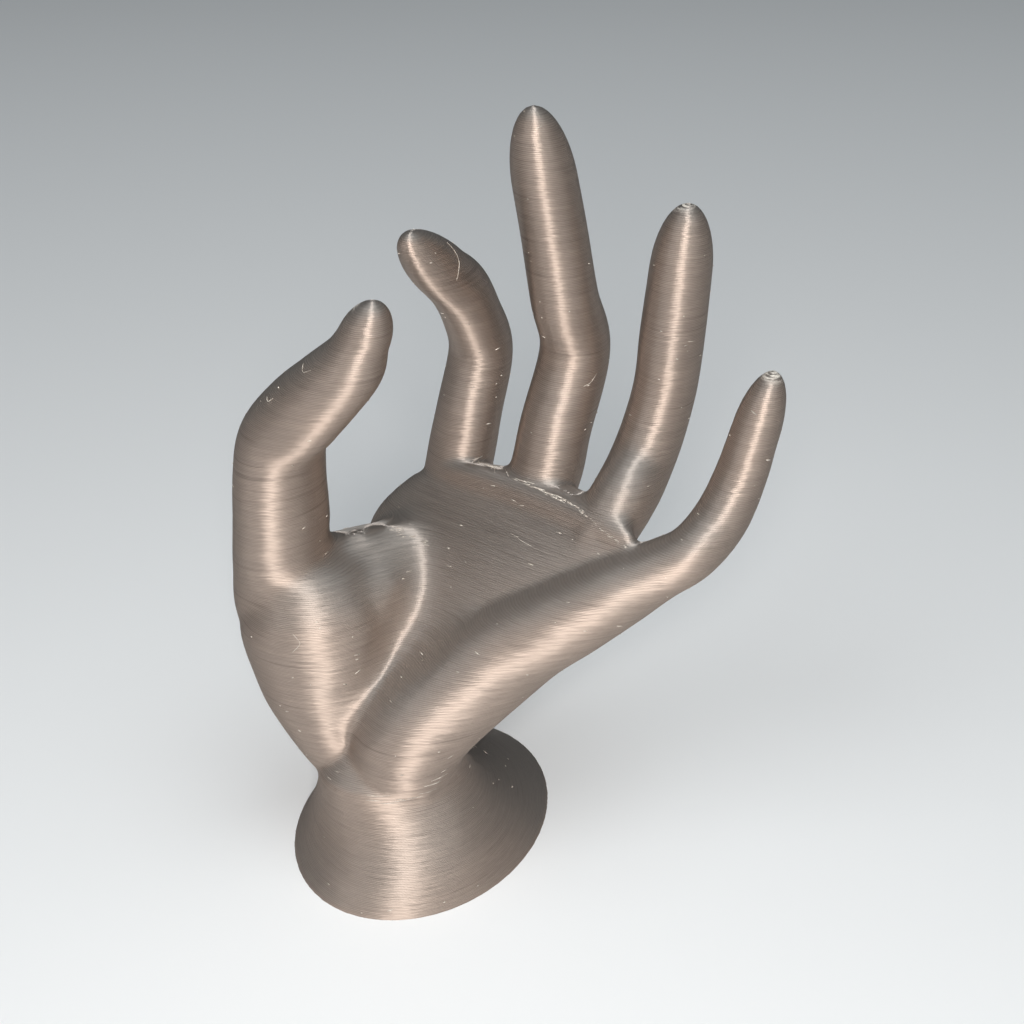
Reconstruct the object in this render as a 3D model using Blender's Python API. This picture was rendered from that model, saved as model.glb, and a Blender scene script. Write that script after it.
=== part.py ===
"""Hand jewelry stand: an open hand on a flared oval wrist, printed in one piece.

Lengths are in millimetres until MM turns them into metres. Z is up, X runs across
the palm from the thumb to the little finger, and the palm faces -Y.
"""

import math

import bmesh
import bpy
from mathutils import Matrix, Vector

MM = 0.001

# Foot and wrist: an upright stack of ovals.
FOOT_HALF_WIDTH = 22.6
FOOT_HALF_DEPTH = 27.6
WRIST_HEIGHT = 21.0
WRIST_HALF_WIDTH = 13.2
WRIST_HALF_DEPTH = 8.7
WRIST_FORWARD = 9.6
WRIST_SHIFT = 1.2
WRIST_TURN = 42.0
FLARE_POWER = 1.25
FLARE_RINGS = 7
# The stack starts below the floor, where it is cut off, and ends inside the hand, a little narrower.
FOOT_SINK = 4.0
CORE_HEIGHT = 5.0
CORE_BACK = 2.0
CORE_SHARE = 0.8

# Each limb is a row of stations from its root to its last joint:
# (x, y, z, half width, half depth). A rounded end of the given length follows.
PALM = [
    (1.0, -7.5, 18.0, 10.5, 7.0),
    (1.5, -2.5, 31.0, 13.0, 8.5),
    (2.5, 6.5, 43.0, 18.0, 8.0),
    (5.5, 13.5, 53.5, 22.3, 7.5),
    (9.8, 18.3, 62.0, 20.9, 5.5),
    (10.8, 19.3, 67.0, 16.9, 4.4),
]
PALM_END = 3.4
PALM_CUP = 3.5
PALM_TURN = -4.0
THENAR = [
    (-6.2, -10.0, 16.0, 5.8, 5.5),
    (-9.6, -11.5, 25.0, 7.8, 7.2),
    (-12.5, -10.5, 33.0, 10.9, 9.2),
    (-13.9, -9.3, 41.0, 12.9, 10.0),
    (-14.8, -8.8, 48.5, 13.0, 10.2),
    (-16.2, -8.5, 55.0, 10.3, 8.5),
]
THENAR_END = 4.0
THENAR_TURNS = (20.0, 40.0)
WEB = [
    (-17.0, -6.0, 51.0, 7.0, 7.9),
    (-12.0, 2.0, 52.0, 6.5, 7.7),
    (-6.0, 9.0, 52.3, 6.0, 7.2),
]
WEB_END = 2.0
FLANK = [
    (-13.4, -9.4, 46.0, 7.4, 10.0),
    (-10.0, -3.4, 47.4, 8.2, 11.6),
    (-7.3, 4.1, 48.0, 8.0, 11.6),
    (-6.2, 9.5, 48.0, 6.5, 10.0),
]
FLANK_END = 1.0
THUMB = [
    (-15.5, -8.5, 38.0, 8.0, 8.0),
    (-20.3, -9.0, 47.5, 9.2, 8.0),
    (-20.0, -10.0, 57.0, 8.5, 6.9),
    (-19.0, -10.0, 66.0, 8.3, 6.5),
    (-18.3, -10.0, 75.0, 7.8, 6.2),
    (-16.7, -10.0, 82.0, 7.3, 6.3),
    (-11.9, -10.0, 87.8, 6.5, 6.5),
    (-6.8, -9.8, 93.0, 5.9, 5.9),
    (-2.8, -9.3, 98.0, 5.0, 5.0),
    (-0.5, -9.0, 102.3, 4.0, 4.0),
]
THUMB_END = 6.6
THUMB_TURNS = (65.0, 65.0)
INDEX = [
    (-3.0, 10.5, 46.0, 5.0, 5.0),
    (-4.8, 21.5, 65.2, 6.0, 6.0),
    (-4.0, 24.1, 75.6, 5.8, 5.8),
    (-3.5, 27.2, 86.0, 5.6, 5.6),
    (-2.8, 23.3, 94.5, 5.1, 5.1),
    (-2.4, 19.3, 100.3, 5.0, 5.0),
    (-2.0, 14.8, 104.2, 4.6, 4.6),
]
INDEX_END = 14.8
MIDDLE = [
    (8.0, 10.0, 45.0, 5.0, 5.0),
    (11.8, 22.0, 65.0, 6.2, 6.2),
    (12.5, 26.0, 76.0, 6.2, 6.2),
    (13.0, 31.1, 88.5, 6.0, 6.0),
    (12.8, 27.4, 99.0, 5.6, 5.6),
    (12.5, 24.2, 111.0, 5.3, 5.3),
    (12.3, 21.8, 119.0, 5.1, 5.1),
]
MIDDLE_END = 13.2
RING = [
    (20.0, 9.0, 47.0, 5.0, 5.0),
    (27.4, 21.0, 66.5, 5.6, 5.6),
    (28.3, 29.0, 73.5, 5.5, 5.5),
    (29.2, 32.7, 84.0, 5.3, 5.3),
    (30.0, 32.7, 95.0, 5.3, 5.3),
    (30.8, 32.2, 105.0, 5.0, 5.0),
]
RING_END = 12.0
# The heel of the palm runs on into the little finger.
LITTLE = [
    (2.0, -7.5, 18.5, 9.5, 8.0),
    (2.4, -8.1, 23.0, 10.4, 9.6),
    (4.2, -6.6, 29.0, 10.3, 9.6),
    (9.7, -1.9, 35.8, 9.4, 8.7),
    (17.7, 4.9, 44.8, 9.1, 7.9),
    (25.8, 9.1, 51.5, 8.4, 7.1),
    (33.4, 12.6, 57.8, 7.0, 6.1),
    (38.7, 14.6, 62.2, 5.2, 5.1),
    (43.2, 17.0, 65.8, 4.6, 4.6),
    (45.7, 21.5, 70.5, 4.5, 4.5),
    (47.0, 24.8, 77.0, 4.2, 4.2),
    (48.2, 26.0, 84.8, 3.85, 3.85),
]
LITTLE_END = 10.8
LITTLE_TURNS = (20.0, 92.0)

# How finely the limbs are drawn, blended and thinned out again.
RING_POINTS = 32
STEPS = 5
END_STEPS = 6
VOXEL = 0.6
SMOOTH_TURNS = 8
TRIANGLES = 10000

BRONZE = (0.20, 0.155, 0.125, 1.0)


def clear_scene():
    for item in list(bpy.data.objects):
        bpy.data.objects.remove(item, do_unlink=True)


def between(before, start, end, after, share):
    """A smooth value between start and end, with the two outer values as guides."""
    slope_in = (end - before) / 2
    slope_out = (after - start) / 2
    rise = end - start
    curve = (slope_in + slope_out - 2 * rise) * share
    return start + share * (slope_in + share * (3 * rise - 2 * slope_in - slope_out + curve))


def smooth_row(stations):
    """The stations with STEPS smooth steps from each to the next."""
    rows = [Vector(station) for station in stations]
    rows = [2 * rows[0] - rows[1]] + rows + [2 * rows[-1] - rows[-2]]
    found = []
    for place in range(1, len(rows) - 2):
        for step in range(STEPS):
            found.append(between(*rows[place - 1 : place + 3], step / STEPS))
    found.append(rows[-2])
    return found


def add_ring(bm, centre, side, front, half_width, half_depth, cup):
    """An oval loop round the centre, with its two sides bent towards the front."""
    frame = Matrix((side, front, side.cross(front))).transposed().to_4x4()
    frame.translation = centre * MM
    size = Matrix.Diagonal((half_width * MM, half_depth * MM, 1.0, 1.0))
    made = bmesh.ops.create_circle(bm, segments=RING_POINTS, radius=1.0, matrix=frame @ size)
    for vert in made["verts"]:
        across = (vert.co - frame.translation).dot(side) / (half_width * MM)
        vert.co += front * (cup * MM * across**2)
    return made["verts"]


def loop_edges(verts):
    inside = set(verts)
    edges = {edge for vert in verts for edge in vert.link_edges}
    return [edge for edge in edges if inside.issuperset(edge.verts)]


def skin(bm, rings):
    """Joins the rings into one closed skin with flat ends."""
    loops = [loop_edges(ring) for ring in rings]
    for near, far in zip(loops, loops[1:]):
        bmesh.ops.bridge_loops(bm, edges=near + far)
    for loop in (loops[0], loops[-1]):
        bmesh.ops.contextual_create(bm, geom=loop)


def add_limb(bm, stations, end_length, turns=(0.0, 0.0), cup=0.0):
    """A tapering limb with a rounded end. Its width turns away from X, from the first turn to the last."""
    rows = smooth_row(stations)
    points = [Vector(row[:3]) for row in (tuple(row) for row in rows)]
    rings = []
    for place, row in enumerate(rows):
        ahead = points[min(place + 1, len(points) - 1)]
        along = (ahead - points[max(place - 1, 0)]).normalized()
        turn = math.radians(turns[0] + (turns[1] - turns[0]) * place / (len(points) - 1))
        level = Vector((math.cos(turn), math.sin(turn), 0.0))
        side = level if cup else (level - along * along.dot(level)).normalized()
        front = side.cross(along).normalized()
        rings.append(add_ring(bm, points[place], side, front, row[3], row[4], cup))
    for step in range(1, END_STEPS + 1):
        rounding = math.radians(86.0) * step / END_STEPS
        centre = points[-1] + along * (end_length * math.sin(rounding))
        shrink = math.cos(rounding)
        rings.append(add_ring(bm, centre, side, front, row[3] * shrink, row[4] * shrink, cup * shrink))
    skin(bm, rings)


def add_foot(bm):
    """The flared foot, drawn in towards the wrist and leaning forward."""
    across = Vector((1.0, 0.0, 0.0))
    away = Vector((0.0, 1.0, 0.0))
    below = Vector((0.0, 0.0, -FOOT_SINK))
    rings = [add_ring(bm, below, across, away, FOOT_HALF_WIDTH, FOOT_HALF_DEPTH, 0.0)]
    for step in range(FLARE_RINGS + 1):
        share = step / FLARE_RINGS
        drawn = 1.0 - (1.0 - share) ** FLARE_POWER
        half_width = FOOT_HALF_WIDTH + (WRIST_HALF_WIDTH - FOOT_HALF_WIDTH) * drawn
        half_depth = FOOT_HALF_DEPTH + (WRIST_HALF_DEPTH - FOOT_HALF_DEPTH) * drawn
        centre = Vector((WRIST_SHIFT * drawn, -WRIST_FORWARD * drawn, WRIST_HEIGHT * share))
        turn = Matrix.Rotation(math.radians(WRIST_TURN * drawn), 3, "Z")
        rings.append(add_ring(bm, centre, turn @ across, turn @ away, half_width, half_depth, 0.0))
    top = centre + Vector((0.0, CORE_BACK, CORE_HEIGHT))
    half_width *= CORE_SHARE
    half_depth *= CORE_SHARE
    rings.append(add_ring(bm, top, turn @ across, turn @ away, half_width, half_depth, 0.0))
    skin(bm, rings)


def draw_hand():
    """All limbs as overlapping closed skins in one mesh."""
    bm = bmesh.new()
    add_foot(bm)
    add_limb(bm, PALM, PALM_END, (PALM_TURN, PALM_TURN), PALM_CUP)
    add_limb(bm, THENAR, THENAR_END, THENAR_TURNS)
    add_limb(bm, WEB, WEB_END)
    add_limb(bm, FLANK, FLANK_END)
    add_limb(bm, THUMB, THUMB_END, THUMB_TURNS)
    add_limb(bm, INDEX, INDEX_END)
    add_limb(bm, MIDDLE, MIDDLE_END)
    add_limb(bm, RING, RING_END)
    add_limb(bm, LITTLE, LITTLE_END, LITTLE_TURNS)
    bmesh.ops.recalc_face_normals(bm, faces=bm.faces)
    mesh = bpy.data.meshes.new("limbs")
    bm.to_mesh(mesh)
    bm.free()
    return mesh


def placed(name, mesh):
    item = bpy.data.objects.new(name, mesh)
    bpy.context.scene.collection.objects.link(item)
    return item


def baked(item):
    """The mesh of the item with its modifiers worked in."""
    bpy.context.view_layer.update()
    graph = bpy.context.evaluated_depsgraph_get()
    mesh = bpy.data.meshes.new_from_object(item.evaluated_get(graph))
    bpy.data.objects.remove(item, do_unlink=True)
    return mesh


def blend(mesh):
    """One skin round all limbs, with soft webs where they meet."""
    item = placed("blend", mesh)
    remesh = item.modifiers.new("one skin", "REMESH")
    remesh.mode = "VOXEL"
    remesh.voxel_size = VOXEL * MM
    smooth = item.modifiers.new("soft webs", "SMOOTH")
    smooth.factor = 0.5
    smooth.iterations = SMOOTH_TURNS
    return baked(item)


def thin_out(mesh):
    """The same skin with fewer faces."""
    item = placed("thin", mesh)
    mesh.calc_loop_triangles()
    fewer = item.modifiers.new("fewer faces", "DECIMATE")
    fewer.ratio = min(1.0, TRIANGLES / len(mesh.loop_triangles))
    return baked(item)


def cut_foot_flat(mesh):
    """Cuts the skin at the floor and closes it with a flat face."""
    bm = bmesh.new()
    bm.from_mesh(mesh)
    geometry = bm.verts[:] + bm.edges[:] + bm.faces[:]
    cut = bmesh.ops.bisect_plane(bm, geom=geometry, plane_no=(0.0, 0.0, 1.0), clear_inner=True)
    rim = [item for item in cut["geom_cut"] if isinstance(item, bmesh.types.BMEdge)]
    bmesh.ops.contextual_create(bm, geom=rim)
    bmesh.ops.triangulate(bm, faces=bm.faces)
    bmesh.ops.recalc_face_normals(bm, faces=bm.faces)
    bm.to_mesh(mesh)
    bm.free()


def bronze_print():
    material = bpy.data.materials.new("bronze print")
    material.use_nodes = True
    shader = material.node_tree.nodes["Principled BSDF"]
    shader.inputs["Base Color"].default_value = BRONZE
    shader.inputs["Metallic"].default_value = 0.35
    shader.inputs["Roughness"].default_value = 0.38
    return material


clear_scene()
skin_mesh = thin_out(blend(draw_hand()))
cut_foot_flat(skin_mesh)
skin_mesh.name = "hand_stand"
skin_mesh.materials.append(bronze_print())
hand_stand = placed("hand_stand", skin_mesh)
for polygon in skin_mesh.polygons:
    polygon.use_smooth = abs(polygon.normal.z) < 0.999
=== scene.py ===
import bpy
import bmesh
import math
import random
import numpy as np
from mathutils import Matrix, Vector


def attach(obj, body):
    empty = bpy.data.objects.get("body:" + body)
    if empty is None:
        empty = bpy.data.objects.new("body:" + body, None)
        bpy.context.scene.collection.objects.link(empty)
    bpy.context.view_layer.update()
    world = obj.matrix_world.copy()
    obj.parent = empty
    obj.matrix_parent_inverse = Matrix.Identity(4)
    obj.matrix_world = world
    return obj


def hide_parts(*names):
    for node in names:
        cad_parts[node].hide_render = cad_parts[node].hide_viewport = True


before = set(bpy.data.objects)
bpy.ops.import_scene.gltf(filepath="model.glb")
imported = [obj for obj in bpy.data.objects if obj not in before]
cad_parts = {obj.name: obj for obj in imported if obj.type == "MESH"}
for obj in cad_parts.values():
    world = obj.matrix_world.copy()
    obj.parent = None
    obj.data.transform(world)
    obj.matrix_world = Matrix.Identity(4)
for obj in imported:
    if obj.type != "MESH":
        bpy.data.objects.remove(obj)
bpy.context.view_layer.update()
scene = bpy.context.scene
scene.view_settings.view_transform = "Standard"
mm = 0.001  # every length in the dictionaries is in millimetres
print("frame loaded")


cameraSetup = {
    "place": (111.0, -144.5, 181.4),
    "azimuth": 32.2,  # degrees, 0 looks along +Y
    "elevation": 32.0,  # degrees above the floor
    "lens": 45.7,
}


def addCamera(setup):
    data = bpy.data.cameras.new("photoCamera")
    data.lens = setup["lens"]
    data.sensor_width = 36.0
    data.clip_start = 0.01
    data.clip_end = 20.0
    camera = bpy.data.objects.new("photoCamera", data)
    scene.collection.objects.link(camera)
    camera.location = Vector(setup["place"]) * mm
    tilt = math.radians(90 - setup["elevation"])
    camera.rotation_euler = (tilt, 0, math.radians(setup["azimuth"]))
    scene.camera = camera


addCamera(cameraSetup)
print("camera set")


def addNode(tree, kind, place=(0, 0), **settings):
    # one shader node, with its sockets set by name and its options by attribute
    node = tree.nodes.new(kind)
    node.location = place
    for name, value in settings.items():
        if hasattr(node, name):
            setattr(node, name, value)
        else:
            node.inputs[name.replace("_", " ")].default_value = value
    return node


def addMath(tree, operation, first, second=None, third=None, clamp=False):
    # a math node whose inputs are numbers or other nodes' outputs
    node = tree.nodes.new("ShaderNodeMath")
    node.operation = operation
    node.use_clamp = clamp
    for socket, value in zip(node.inputs, (first, second, third)):
        if value is None:
            continue
        if isinstance(value, (int, float)):
            socket.default_value = value
        else:
            tree.links.new(value, socket)
    return node.outputs[0]


def mixColour(tree, factor, first, second):
    node = tree.nodes.new("ShaderNodeMix")
    node.data_type = "RGBA"
    if isinstance(factor, (int, float)):
        node.inputs["Factor"].default_value = factor
    else:
        tree.links.new(factor, node.inputs["Factor"])
    for name, value in (("A", first), ("B", second)):
        socket = [s for s in node.inputs if s.name == name and s.type == "RGBA"][0]
        if isinstance(value, tuple):
            socket.default_value = value
        else:
            tree.links.new(value, socket)
    return [s for s in node.outputs if s.type == "RGBA"][0]


def noiseAt(tree, coordinate, scale, detail=2.0, roughness=0.5):
    # a noise whose coordinate is stretched by three factors, in cycles per metre
    stretched = tree.nodes.new("ShaderNodeVectorMath")
    stretched.operation = "MULTIPLY"
    stretched.inputs[1].default_value = scale
    tree.links.new(coordinate, stretched.inputs[0])
    noise = addNode(tree, "ShaderNodeTexNoise", Scale=1.0, Detail=detail, Roughness=roughness)
    tree.links.new(stretched.outputs[0], noise.inputs["Vector"])
    return noise.outputs["Fac"]


def ramp(tree, value, low, high):
    # 0 below low, 1 above high, smooth between
    node = tree.nodes.new("ShaderNodeMapRange")
    node.interpolation_type = "SMOOTHSTEP"
    node.inputs["From Min"].default_value = low
    node.inputs["From Max"].default_value = high
    tree.links.new(value, node.inputs["Value"])
    return node.outputs["Result"]


def shade(tree, colour, factor):
    # a colour made lighter or darker by a number that varies over the surface
    node = tree.nodes.new("ShaderNodeVectorMath")
    node.operation = "SCALE"
    tree.links.new(colour, node.inputs[0])
    tree.links.new(factor, node.inputs["Scale"])
    return node.outputs[0]


def nearPoints(tree, coordinate, points, reach):
    # 1 at any of the points, 0 farther off than the reach
    nearest = None
    for point in points:
        gap = tree.nodes.new("ShaderNodeVectorMath")
        gap.operation = "DISTANCE"
        gap.inputs[1].default_value = Vector(point) * mm
        tree.links.new(coordinate, gap.inputs[0])
        found = gap.outputs["Value"]
        nearest = found if nearest is None else addMath(tree, "MINIMUM", nearest, found)
    return addMath(tree, "SUBTRACT", 1.0, ramp(tree, nearest, 0.35 * reach * mm, reach * mm))


silkPrint = {
    "layerHeight": 0.28,
    "ridgeDepth": 0.05,
    # patterns along the layers: (cycles per metre round the hand, cycles per layer upward)
    "streaks": (90, 0.95),  # each layer a touch wider or narrower than the next
    "fine": (420, 1.3),
    "seams": (40, 0.5),  # now and then one is left proud
    "jag": (150, 1.0),  # how far a layer's sheen leans
    "drift": 60,  # cycles per metre of the layers' slow wander in height
    "clouds": 75,  # and of the warm patches
    "colour": (0.41, 0.335, 0.287, 1),
    "warmColour": (0.45, 0.356, 0.299, 1),
    # painted sky reflection: a greyer colour mixed in where the surface faces up
    "paintedSkyReflectionColour": (0.40, 0.37, 0.345, 1),  # where the surface faces up
    "chalkColour": (0.60, 0.56, 0.50, 1),  # the rough plastic at the fingertips
    "darkest": 0.40,
    # the layer-ridge share of the tone is painted shade darkening the grooves between layers;
    # streaks, fine and seams are random tone
    "tone": {"streaks": 0.50, "ridgesAndGrooveShade": 0.34, "fine": 0.30, "seams": -0.16},
    "upFade": 0.75,  # how much fainter the tone is where the layers spread out on what faces up
    "metallic": 0.8,
    "roughness": 0.56,
    "streakRoughness": 0.16,
    "upRoughness": 0.12,
    "relief": {"streaks": 1.3, "fine": 1.0, "chalk": 3.0},  # against a layer's ridge
    "anisotropy": 0.92,
    "gloss": 0.5,
    "wander": 0.16,  # how far each layer's sheen sits to one side
    "tips": ((-1.6, -9.0, 107.8), (30.9, 32.0, 116.6), (49.6, 26.8, 95.4)),
    "tipReach": 2.6,
}


def makeSilkPrint(setup):
    material = bpy.data.materials.new("silkPrint")
    material.use_nodes = True
    tree = material.node_tree
    tree.nodes.clear()
    output = addNode(tree, "ShaderNodeOutputMaterial", (900, 0))
    shader = addNode(tree, "ShaderNodeBsdfPrincipled", (600, 0))
    tree.links.new(shader.outputs[0], output.inputs["Surface"])
    shader.inputs["Anisotropic"].default_value = setup["anisotropy"]
    shader.inputs["Specular IOR Level"].default_value = setup["gloss"]
    place = tree.nodes.new("ShaderNodeTexCoord").outputs["Object"]
    split = tree.nodes.new("ShaderNodeSeparateXYZ")
    tree.links.new(place, split.inputs[0])
    height = split.outputs["Z"]

    layers = 1 / (setup["layerHeight"] * mm)

    def alongLayers(name, detail=2.0, roughness=0.5):
        around, upward = setup[name]
        return noiseAt(tree, place, (around, around, upward * layers), detail, roughness)

    # the layers wander a little in height, as a printer's do
    drift = noiseAt(tree, place, [setup["drift"]] * 3, detail=1.0)
    count = addMath(tree, "MULTIPLY_ADD", height, layers, addMath(tree, "MULTIPLY", drift, 0.6))
    # layer ridges: the bump relief, and through the colour tone also painted shade in the grooves
    # between layers
    ridgesAndGrooveShade = addMath(tree, "SINE", addMath(tree, "MULTIPLY", count, math.pi))
    ridgesAndGrooveShade = addMath(tree, "ABSOLUTE", ridgesAndGrooveShade)
    streaks = alongLayers("streaks", roughness=0.6)
    fine = alongLayers("fine")
    seams = ramp(tree, alongLayers("seams", detail=1.0), 0.66, 0.72)
    clouds = noiseAt(tree, place, [setup["clouds"]] * 3, detail=1.0)

    # colour: warm patches along the layers, a painted sky reflection (a greyer colour) on what
    # faces up, chalky at the tips
    normal = tree.nodes.new("ShaderNodeNewGeometry").outputs["Normal"]
    facing = tree.nodes.new("ShaderNodeSeparateXYZ")
    tree.links.new(normal, facing.inputs[0])
    up = ramp(tree, facing.outputs["Z"], 0.25, 0.95)
    chalk = nearPoints(tree, place, setup["tips"], setup["tipReach"])
    chalk = addMath(tree, "MULTIPLY", chalk, ramp(tree, fine, 0.42, 0.58))
    colour = mixColour(tree, clouds, setup["colour"], setup["warmColour"])
    # painted sky reflection: greyer the more the surface faces up
    colour = mixColour(tree, addMath(tree, "MULTIPLY", up, 0.9), colour, setup["paintedSkyReflectionColour"])
    patterns = {"streaks": streaks, "ridgesAndGrooveShade": ridgesAndGrooveShade, "fine": fine, "seams": seams, "chalk": chalk}
    # tone: random layer-to-layer variation, plus painted shade that darkens the grooves between the
    # layer ridges
    tone = setup["darkest"]
    for name, share in setup["tone"].items():
        tone = addMath(tree, "MULTIPLY_ADD", patterns[name], share, tone)
    tone = addMath(tree, "SUBTRACT", tone, 1.0)
    tone = addMath(tree, "MULTIPLY", tone, addMath(tree, "MULTIPLY_ADD", up, -setup["upFade"], 1.0))
    tone = addMath(tree, "MAXIMUM", addMath(tree, "ADD", tone, 1.0), 0.2)
    colour = shade(tree, colour, tone)
    colour = mixColour(tree, chalk, colour, setup["chalkColour"])
    tree.links.new(colour, shader.inputs["Base Color"])
    metal = addMath(tree, "MULTIPLY", addMath(tree, "SUBTRACT", 1.0, chalk), setup["metallic"])
    tree.links.new(metal, shader.inputs["Metallic"])

    uneven = setup["streakRoughness"]
    rough = addMath(tree, "MULTIPLY_ADD", streaks, uneven, setup["roughness"] - uneven / 2)
    rough = addMath(tree, "MULTIPLY_ADD", up, setup["upRoughness"], rough)
    tree.links.new(rough, shader.inputs["Roughness"])

    # relief: the layer ridges, their uneven width and the chalky tips
    relief = ridgesAndGrooveShade
    for name, share in setup["relief"].items():
        relief = addMath(tree, "MULTIPLY_ADD", patterns[name], share, relief)
    bump = addNode(tree, "ShaderNodeBump", Strength=1.0, Distance=setup["ridgeDepth"] * mm)
    tree.links.new(relief, bump.inputs["Height"])

    # each layer's sheen also sits a little to one side of the last one's
    upward = addNode(tree, "ShaderNodeCombineXYZ", X=0.0, Y=0.0, Z=1.0)
    sideways = tree.nodes.new("ShaderNodeVectorMath")
    sideways.operation = "CROSS_PRODUCT"
    tree.links.new(upward.outputs[0], sideways.inputs[0])
    tree.links.new(normal, sideways.inputs[1])
    jag = alongLayers("jag", roughness=0.6)
    jag = addMath(tree, "MULTIPLY_ADD", jag, 2 * setup["wander"], -setup["wander"])
    bent = tree.nodes.new("ShaderNodeVectorMath")
    bent.operation = "MULTIPLY_ADD"
    tree.links.new(sideways.outputs[0], bent.inputs[0])
    tree.links.new(jag, bent.inputs[1])
    tree.links.new(bump.outputs[0], bent.inputs[2])
    unit = tree.nodes.new("ShaderNodeVectorMath")
    unit.operation = "NORMALIZE"
    tree.links.new(bent.outputs[0], unit.inputs[0])
    tree.links.new(unit.outputs[0], shader.inputs["Normal"])

    # the sheen runs across the layers, so highlights stretch up and down
    tree.links.new(upward.outputs[0], shader.inputs["Tangent"])
    return material


silk = makeSilkPrint(silkPrint)
print("material made")


# each limb is a row of stations from root to last joint:
# (x, y, z, half width, half depth), with a rounded end of the given length
handForm = {
    "foot": {
        "halfWidth": 22.6,
        "halfDepth": 27.6,
        "wristHeight": 21.0,
        "wristHalfWidth": 13.2,
        "wristHalfDepth": 8.7,
        "wristForward": 9.6,
        "wristShift": 1.2,
        "wristTurn": 42.0,
        "flarePower": 1.25,
        "sink": 4.0,
        "rings": 12,
        "core": (2.0, 5.0, 0.8),  # back, up and share of the width at its end inside the hand
    },
    "palm": {
        "end": 3.4, "turns": (-4.0, -4.0), "cup": 3.5,
        "stations": [
            (1.0, -7.5, 18.0, 10.5, 7.0),
            (1.5, -2.5, 31.0, 13.0, 8.5),
            (2.5, 6.5, 43.0, 18.0, 8.0),
            (5.5, 13.5, 53.5, 22.3, 7.5),
            (11.2, 18.1, 62.0, 22.3, 5.5),
            (14.2, 19.0, 66.4, 20.6, 4.3),
        ],
    },
    "thenar": {
        "end": 4.0, "turns": (20.0, 40.0), "cup": 0.0,
        "stations": [
            (-6.2, -10.0, 16.0, 5.8, 5.5),
            (-9.6, -11.5, 25.0, 7.8, 7.2),
            (-12.5, -10.5, 33.0, 10.9, 9.2),
            (-13.9, -9.3, 41.0, 12.9, 10.0),
            (-14.8, -8.8, 47.7, 13.0, 10.2),
            (-16.2, -8.5, 53.5, 10.4, 8.4),
        ],
    },
    "web": {
        "end": 2.0, "turns": (0.0, 0.0), "cup": 0.0,
        "stations": [
            (-17.0, -6.0, 51.0, 7.0, 7.9),
            (-12.0, 2.0, 52.0, 6.5, 7.7),
            (-6.0, 9.0, 52.3, 6.0, 7.2),
        ],
    },
    "flank": {
        "end": 1.0, "turns": (0.0, 0.0), "cup": 0.0,
        "stations": [
            (-13.4, -9.4, 44.8, 7.4, 9.0),
            (-10.0, -3.4, 46.0, 8.2, 10.2),
            (-7.3, 4.1, 46.8, 8.0, 10.4),
            (-6.2, 9.5, 47.0, 6.5, 9.0),
        ],
    },
    "thumb": {
        "end": 7.1, "turns": (65.0, 65.0), "cup": 0.0,
        "stations": [
            (-15.5, -8.5, 38.0, 8.0, 8.0),
            (-20.3, -9.0, 47.5, 9.2, 8.0),
            (-20.0, -10.0, 57.0, 8.5, 6.9),
            (-19.0, -10.0, 66.0, 8.3, 6.5),
            (-18.3, -10.0, 75.0, 7.8, 6.2),
            (-16.7, -10.0, 82.0, 7.3, 6.3),
            (-11.9, -10.0, 87.8, 6.5, 6.5),
            (-6.8, -9.8, 93.0, 5.9, 5.9),
            (-2.2, -9.3, 98.0, 5.1, 5.1),
            (0.0, -9.0, 102.3, 4.0, 4.0),
        ],
    },
    "index": {
        "end": 14.8, "turns": (0.0, 0.0), "cup": 0.0,
        "stations": [
            (-3.0, 10.5, 46.0, 5.0, 5.0),
            (-4.8, 21.5, 65.2, 6.0, 6.0),
            (-4.0, 24.1, 75.6, 5.8, 5.8),
            (-3.5, 27.2, 86.0, 5.6, 5.6),
            (-2.8, 23.3, 94.5, 5.1, 5.1),
            (-2.4, 19.3, 100.3, 5.0, 5.0),
            (-2.0, 14.8, 104.2, 4.6, 4.6),
        ],
    },
    "middle": {
        "end": 13.2, "turns": (0.0, 0.0), "cup": 0.0,
        "stations": [
            (8.0, 10.0, 45.0, 5.0, 5.0),
            (11.8, 22.0, 65.0, 6.2, 6.2),
            (12.5, 26.0, 76.0, 6.2, 6.2),
            (13.0, 31.1, 88.5, 6.0, 6.0),
            (12.8, 27.4, 99.0, 5.6, 5.6),
            (12.5, 24.2, 111.0, 5.3, 5.3),
            (12.3, 21.8, 119.0, 5.1, 5.1),
        ],
    },
    "ring": {
        "end": 12.0, "turns": (0.0, 0.0), "cup": 0.0,
        "stations": [
            (20.0, 9.0, 47.0, 5.0, 5.0),
            (27.6, 19.4, 66.3, 5.6, 5.6),
            (28.3, 28.2, 73.5, 5.5, 5.5),
            (29.2, 32.7, 84.0, 5.3, 5.3),
            (30.0, 32.7, 95.0, 5.3, 5.3),
            (30.8, 32.2, 105.0, 5.0, 5.0),
        ],
    },
    "little": {
        "end": 10.8, "turns": (20.0, 92.0), "cup": 0.0,
        "stations": [
            (2.0, -7.5, 18.5, 9.5, 8.0),
            (2.4, -8.1, 23.0, 10.4, 9.6),
            (4.2, -6.6, 29.0, 10.3, 9.6),
            (9.7, -1.9, 35.8, 9.4, 8.7),
            (17.7, 4.9, 44.8, 9.1, 7.9),
            (25.8, 9.1, 51.5, 8.4, 7.1),
            (33.4, 12.6, 57.8, 7.0, 6.1),
            (38.7, 14.6, 62.2, 5.2, 5.1),
            (43.2, 17.0, 65.8, 4.6, 4.6),
            (45.7, 21.5, 70.5, 4.5, 4.5),
            (47.0, 24.8, 77.0, 4.2, 4.2),
            (48.2, 26.0, 84.8, 3.85, 3.85),
        ],
    },
}
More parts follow.
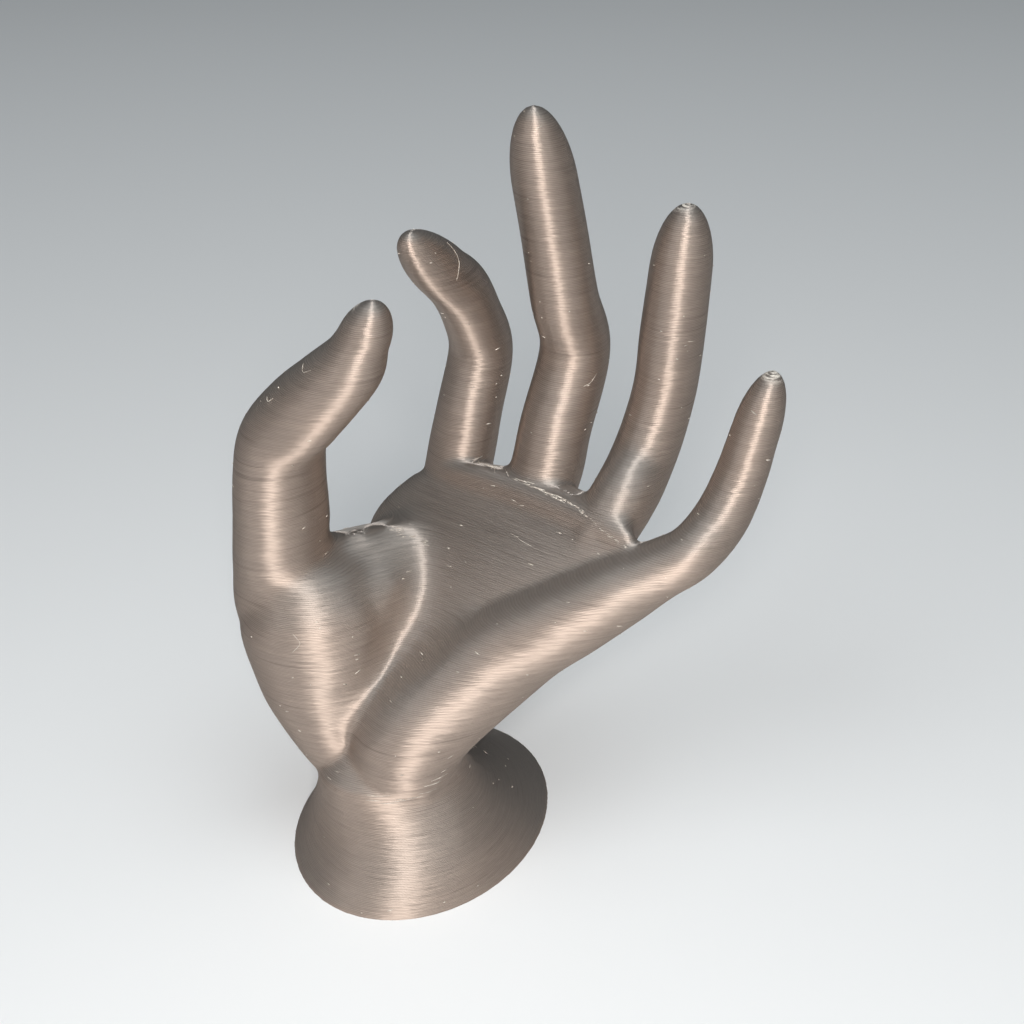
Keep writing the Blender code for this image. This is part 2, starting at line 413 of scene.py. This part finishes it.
handMesh = {
    "ringPoints": 48,
    "steps": 8,
    "endSteps": 10,
    "voxel": 0.57,
    "smoothTurns": 9,
    # blends that are rounder than the rest, each along a line, in full up to near and none past far
    "softSpots": {
        "web": {
            "line": ((-15, -9, 56.5), (-10.5, -4, 57), (-11, 3, 58.3)),
            "near": 5.0, "far": 8.5, "turns": 110,
        },
        "thumbRoot": {
            "line": ((-19, -17, 55), (-15, -15, 57), (-12, -11, 57.6)),
            "near": 3.5, "far": 7.0, "turns": 60,
        },
        "crease": {
            "line": ((-4, 6.5, 59), (2.5, 5.5, 53.9), (3.6, 1.0, 47.9), (1.0, -5.5, 40.4),
                     (-2.5, -11.5, 35.5)),
            "near": 4.5, "far": 8.5, "turns": 180,
        },
        "knuckleRidgeEnd": {
            "line": ((29.8, 15.4, 69.5), (34.3, 13.6, 66.3)),
            "near": 2.0, "far": 4.5, "turns": 40,
        },
    },
}


def between(before, start, end, after, share):
    # a smooth curve from start to end that also heeds the rows before and after
    slopeIn = (end - before) / 2
    slopeOut = (after - start) / 2
    rise = end - start
    curve = (slopeIn + slopeOut - 2 * rise) * share
    return start + share * (slopeIn + share * (3 * rise - 2 * slopeIn - slopeOut + curve))


def smoothRow(stations, steps):
    rows = [Vector(station) for station in stations]
    rows = [2 * rows[0] - rows[1]] + rows + [2 * rows[-1] - rows[-2]]
    found = []
    for place in range(1, len(rows) - 2):
        for step in range(steps):
            found.append(between(*rows[place - 1 : place + 3], step / steps))
    found.append(rows[-2])
    return found


def addRing(bm, centre, side, front, halfWidth, halfDepth, cup=0.0):
    turn = Matrix((side, front, side.cross(front))).transposed().to_4x4()
    turn.translation = centre * mm
    oval = turn @ Matrix.Diagonal((halfWidth * mm, halfDepth * mm, 1.0, 1.0))
    points = handMesh["ringPoints"]
    made = bmesh.ops.create_circle(bm, segments=points, radius=1.0, matrix=oval)
    for vert in made["verts"]:
        across = (vert.co - turn.translation).dot(side) / (halfWidth * mm)
        vert.co += front * (cup * mm * across**2)
    return made["verts"]


def loopEdges(verts):
    inside = set(verts)
    edges = {edge for vert in verts for edge in vert.link_edges}
    return [edge for edge in edges if inside.issuperset(edge.verts)]


def skinRings(bm, rings):
    loops = [loopEdges(ring) for ring in rings]
    for near, far in zip(loops, loops[1:]):
        bmesh.ops.bridge_loops(bm, edges=near + far)
    for loop in (loops[0], loops[-1]):
        bmesh.ops.contextual_create(bm, geom=loop)


def addLimb(bm, limb):
    rows = smoothRow(limb["stations"], handMesh["steps"])
    points = [Vector(tuple(row)[:3]) for row in rows]
    turns = limb["turns"]
    cup = limb["cup"]
    rings = []
    for place, row in enumerate(rows):
        ahead = points[min(place + 1, len(points) - 1)]
        along = (ahead - points[max(place - 1, 0)]).normalized()
        turn = math.radians(turns[0] + (turns[1] - turns[0]) * place / (len(points) - 1))
        level = Vector((math.cos(turn), math.sin(turn), 0.0))
        side = level if cup else (level - along * along.dot(level)).normalized()
        front = side.cross(along).normalized()
        rings.append(addRing(bm, points[place], side, front, row[3], row[4], cup))
    for step in range(1, handMesh["endSteps"] + 1):
        rounding = math.radians(87.0) * step / handMesh["endSteps"]  # just short of a point
        centre = points[-1] + along * (limb["end"] * math.sin(rounding))
        shrink = math.cos(rounding)
        halfWidth, halfDepth = row[3] * shrink, row[4] * shrink
        rings.append(addRing(bm, centre, side, front, halfWidth, halfDepth, cup * shrink))
    skinRings(bm, rings)


def addFoot(bm, foot):
    across = Vector((1.0, 0.0, 0.0))
    away = Vector((0.0, 1.0, 0.0))
    below = Vector((0, 0, -foot["sink"]))
    rings = [addRing(bm, below, across, away, foot["halfWidth"], foot["halfDepth"])]
    for step in range(foot["rings"] + 1):
        share = step / foot["rings"]
        drawn = 1.0 - (1.0 - share) ** foot["flarePower"]
        halfWidth = foot["halfWidth"] + (foot["wristHalfWidth"] - foot["halfWidth"]) * drawn
        halfDepth = foot["halfDepth"] + (foot["wristHalfDepth"] - foot["halfDepth"]) * drawn
        aside, forward = foot["wristShift"] * drawn, foot["wristForward"] * drawn
        centre = Vector((aside, -forward, foot["wristHeight"] * share))
        turn = Matrix.Rotation(math.radians(foot["wristTurn"] * drawn), 3, "Z")
        rings.append(addRing(bm, centre, turn @ across, turn @ away, halfWidth, halfDepth))
    back, up, share = foot["core"]
    top = centre + Vector((0.0, back, up))
    rings.append(addRing(bm, top, turn @ across, turn @ away, halfWidth * share, halfDepth * share))
    skinRings(bm, rings)


def applyModifier(thing, kind, **settings):
    modifier = thing.modifiers.new(kind.lower(), kind)
    for name, value in settings.items():
        setattr(modifier, name, value)
    graph = bpy.context.evaluated_depsgraph_get()
    mesh = bpy.data.meshes.new_from_object(thing.evaluated_get(graph))
    thing.modifiers.clear()
    old = thing.data
    thing.data = mesh
    bpy.data.meshes.remove(old)


def softenAlong(hand, spot):
    places = np.empty(len(hand.data.vertices) * 3)
    hand.data.vertices.foreach_get("co", places)
    places = places.reshape(-1, 3) / mm
    gaps = [np.linalg.norm(places - point, axis=1) for point in smoothRow(spot["line"], 6)]
    gaps = np.min(gaps, axis=0)
    shares = np.clip((spot["far"] - gaps) / (spot["far"] - spot["near"]), 0.0, 1.0)
    soft = hand.vertex_groups.new(name="soft")
    for index in np.flatnonzero(shares):
        soft.add([int(index)], float(shares[index]), "REPLACE")
    applyModifier(hand, "SMOOTH", factor=0.5, iterations=spot["turns"], vertex_group="soft")
    hand.vertex_groups.clear()


def flattenFoot(hand):
    # cuts off what is below the floor and closes the underside
    bm = bmesh.new()
    bm.from_mesh(hand.data)
    everything = bm.verts[:] + bm.edges[:] + bm.faces[:]
    cut = bmesh.ops.bisect_plane(
        bm, geom=everything, plane_co=(0, 0, 0), plane_no=(0, 0, 1), clear_inner=True
    )
    rim = [part for part in cut["geom_cut"] if isinstance(part, bmesh.types.BMEdge)]
    bmesh.ops.contextual_create(bm, geom=rim)
    bmesh.ops.triangulate(bm, faces=[face for face in bm.faces if len(face.verts) > 4])
    bmesh.ops.recalc_face_normals(bm, faces=bm.faces[:])
    for face in bm.faces:
        face.smooth = abs(face.normal.z) < 0.999
    bm.to_mesh(hand.data)
    bm.free()


def makeHand(form):
    bm = bmesh.new()
    addFoot(bm, form["foot"])
    for name, limb in form.items():
        if name != "foot":
            addLimb(bm, limb)
    mesh = bpy.data.meshes.new("printedHand")
    bm.to_mesh(mesh)
    bm.free()
    hand = bpy.data.objects.new("printedHand", mesh)
    scene.collection.objects.link(hand)
    voxel = handMesh["voxel"] * mm
    applyModifier(hand, "REMESH", mode="VOXEL", voxel_size=voxel, use_smooth_shade=True)
    applyModifier(hand, "SMOOTH", factor=0.5, iterations=handMesh["smoothTurns"])
    for spot in handMesh["softSpots"].values():
        softenAlong(hand, spot)
    flattenFoot(hand)
    hand.data.materials.append(silk)
    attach(hand, "root")
    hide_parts("hand_stand")
    return hand


hand = makeHand(handForm)
print("hand made", len(hand.data.polygons), "faces")


strayPlastic = {
    "seed": 11,
    "radius": 0.042,
    "colour": (0.74, 0.68, 0.60, 1),
    "dullColour": (0.44, 0.38, 0.33, 1),
    "metallic": 0.15,
    "roughness": 0.42,
    "sides": 5,
    "hairs": (  # hairs of plastic left by the nozzle, each a row of points near the skin
        ((1.0, 11.3, 111.0), (1.9, 12.3, 109.6), (2.9, 12.6, 108.0), (3.1, 12.0, 106.4),
         (2.4, 11.7, 105.0)),
        ((-8.4, -12.9, 98.0), (-7.6, -14.2, 97.4), (-5.8, -14.1, 98.0)),
        ((-15.0, -14.4, 91.4), (-14.3, -15.0, 91.0), (-13.1, -15.1, 91.9)),
        ((17.6, 26.0, 84.7), (18.2, 27.3, 85.1), (18.6, 28.6, 86.3)),
        ((-11.4, -18.4, 50.0), (-10.6, -18.3, 49.2), (-10.3, -18.1, 48.2), (-11.4, -18.9, 46.6)),
        ((12.8, 11.0, 62.2), (14.2, 10.6, 62.3), (15.1, 10.5, 61.9), (17.5, 10.3, 61.6)),
    ),
    "blobs": 420,
    "blobHalfLengths": (0.12, 0.18, 0.28, 0.50),
    "blobThickness": (1.3, 2.6),  # times the radius
    "chipThickness": (0.8, 1.7),
    "chips": {  # ragged layer ends along a line, with their spread to either side
        "knuckleRidge": {
            "count": 46, "spread": 0.35, "halfLength": 0.9,
            "line": ((0.4, 19.5, 69.1), (8.8, 17.2, 69.2), (15.8, 16.3, 68.9), (22.7, 15.1, 68.7)),
        },
        "knuckleRidgeEnd": {
            "count": 60, "spread": 0.22, "halfLength": 0.25,
            "line": ((15.8, 16.3, 68.9), (22.7, 15.1, 68.7), (28.1, 13.4, 67.5),
                     (33.5, 12.8, 65.7)),
        },
        "creaseTop": {
            "count": 18, "spread": 0.9, "halfLength": 0.4,
            "line": ((-9.3, 6.1, 59.5), (-5.4, 5.7, 59.0), (-2.2, 6.2, 56.8)),
        },
        "heelShelf": {
            "count": 14, "spread": 0.9, "halfLength": 1.2,
            "line": ((3.2, -18.5, 21.1), (7.4, -16.2, 20.2), (11, -12.8, 22.3), (12.7, -9.9, 24.6)),
        },
    },
}


def makeStray(setup):
    material = bpy.data.materials.new("strayPlastic")
    material.use_nodes = True
    tree = material.node_tree
    shader = tree.nodes["Principled BSDF"]
    shader.inputs["Metallic"].default_value = setup["metallic"]
    shader.inputs["Roughness"].default_value = setup["roughness"]
    place = tree.nodes.new("ShaderNodeTexCoord").outputs["Object"]
    patch = ramp(tree, noiseAt(tree, place, (900, 900, 900)), 0.35, 0.6)
    colour = mixColour(tree, patch, setup["dullColour"], setup["colour"])
    tree.links.new(colour, shader.inputs["Base Color"])
    return material


def addStrand(bm, points, radius, lift):
    # a thin tube through points that are first drawn onto the hand's skin
    path = []
    for point in points:
        hit, spot, normal, face = hand.closest_point_on_mesh(Vector(point) * mm)
        path.append(spot + normal * (lift * radius * mm))
    rings = []
    for place, spot in enumerate(path):
        along = (path[min(place + 1, len(path) - 1)] - path[max(place - 1, 0)]).normalized()
        turn = along.to_track_quat("Z", "X").to_matrix().to_4x4()
        turn.translation = spot
        size = radius * mm * (0.6 if place in (0, len(path) - 1) else 1.0)
        ring = bmesh.ops.create_circle(bm, segments=strayPlastic["sides"], radius=size, matrix=turn)
        rings.append(ring["verts"])
    skinRings(bm, rings)


def makeStrays(setup):
    rng = random.Random(setup["seed"])
    bm = bmesh.new()
    for points in setup["hairs"]:
        addStrand(bm, smoothRow(points, 4), setup["radius"], 1.2)
    spots = hand.data.vertices
    for number in range(setup["blobs"]):
        spot = spots[rng.randrange(len(spots))]
        # none on what faces up or down, and fewer low down
        if abs(spot.normal.z) > 0.8 or rng.random() > 0.35 + spot.co.z / (100 * mm):
            continue
        level = spot.normal.cross(Vector((0, 0, 1))).normalized()
        half = rng.choice(setup["blobHalfLengths"])
        middle = spot.co / mm
        slope = Vector((0, 0, rng.uniform(-0.5, 0.5) * half))
        points = [middle - level * half - slope, middle, middle + level * half + slope]
        addStrand(bm, points, setup["radius"] * rng.uniform(*setup["blobThickness"]), 0.5)
    for chip in setup["chips"].values():
        rows = smoothRow(chip["line"], 12)
        spread = chip["spread"]
        for number in range(chip["count"]):
            middle = rng.choice(rows) + Vector([rng.uniform(-spread, spread) for axis in range(3)])
            hit, spot, normal, face = hand.closest_point_on_mesh(middle * mm)
            level = normal.cross(Vector((0, 0, 1))).normalized()
            half = chip["halfLength"] * rng.uniform(0.4, 1.5)
            points = [middle - level * half, middle, middle + level * half]
            addStrand(bm, points, setup["radius"] * rng.uniform(*setup["chipThickness"]), 0.3)
    bmesh.ops.recalc_face_normals(bm, faces=bm.faces[:])
    for face in bm.faces:
        face.smooth = True
    mesh = bpy.data.meshes.new("strayPlastic")
    bm.to_mesh(mesh)
    bm.free()
    strays = bpy.data.objects.new("strayPlastic", mesh)
    scene.collection.objects.link(strays)
    mesh.materials.append(makeStray(setup))
    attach(strays, "root")
    return strays


strays = makeStrays(strayPlastic)
print("stray plastic made", len(strays.data.polygons), "faces")


floorSetup = {"radius": 2.5, "colour": (0.80, 0.805, 0.81, 1), "roughness": 0.8}


def addFloor(setup):
    bm = bmesh.new()
    bmesh.ops.create_circle(bm, cap_ends=True, segments=96, radius=setup["radius"])
    mesh = bpy.data.meshes.new("studioFloor")
    bm.to_mesh(mesh)
    bm.free()
    floor = bpy.data.objects.new("studioFloor", mesh)
    scene.collection.objects.link(floor)
    material = bpy.data.materials.new("palePaper")
    material.use_nodes = True
    shader = material.node_tree.nodes["Principled BSDF"]
    shader.inputs["Base Color"].default_value = setup["colour"]
    shader.inputs["Roughness"].default_value = setup["roughness"]
    floor.data.materials.append(material)


addFloor(floorSetup)


lamps = {  # metres and degrees, azimuth 0 in front of the palm
    "window": {
        "azimuth": 34, "elevation": 32, "distance": 0.45, "width": 0.155,
        "watts": 1.95, "colour": (1.0, 0.98, 0.955),
    },
    "left": {
        "azimuth": -25, "elevation": 50, "distance": 2.0, "width": 1.2,
        "watts": 9.0, "colour": (0.95, 0.98, 1.0),
    },
    "sky": {
        "azimuth": 90, "elevation": 72, "distance": 2.0, "width": 1.6,
        "watts": 16.0, "colour": (0.90, 0.97, 1.0),
    },
}
lampTarget = (0.0, 0.0, 0.065)  # the middle of the hand
surround = {"colour": (0.72, 0.76, 0.80, 1), "strength": 0.10}


def addLamp(name, setup, target):
    data = bpy.data.lights.new(name, "AREA")
    data.shape = "DISK"
    data.size = setup["width"]
    data.energy = setup["watts"]
    data.color = setup["colour"]
    lamp = bpy.data.objects.new(name, data)
    scene.collection.objects.link(lamp)
    azimuth = math.radians(setup["azimuth"])
    elevation = math.radians(setup["elevation"])
    level = math.cos(elevation)
    towards = Vector((math.sin(azimuth) * level, -math.cos(azimuth) * level, math.sin(elevation)))
    lamp.location = target + towards * setup["distance"]
    lamp.rotation_mode = "QUATERNION"
    lamp.rotation_quaternion = towards.to_track_quat("Z", "Y")


for name, setup in lamps.items():
    addLamp(name, setup, Vector(lampTarget))

world = bpy.data.worlds.new("paleSurround")
world.use_nodes = True
background = world.node_tree.nodes["Background"]
background.inputs["Color"].default_value = surround["colour"]
background.inputs["Strength"].default_value = surround["strength"]
scene.world = world
print("light set")

bpy.context.view_layer.update()
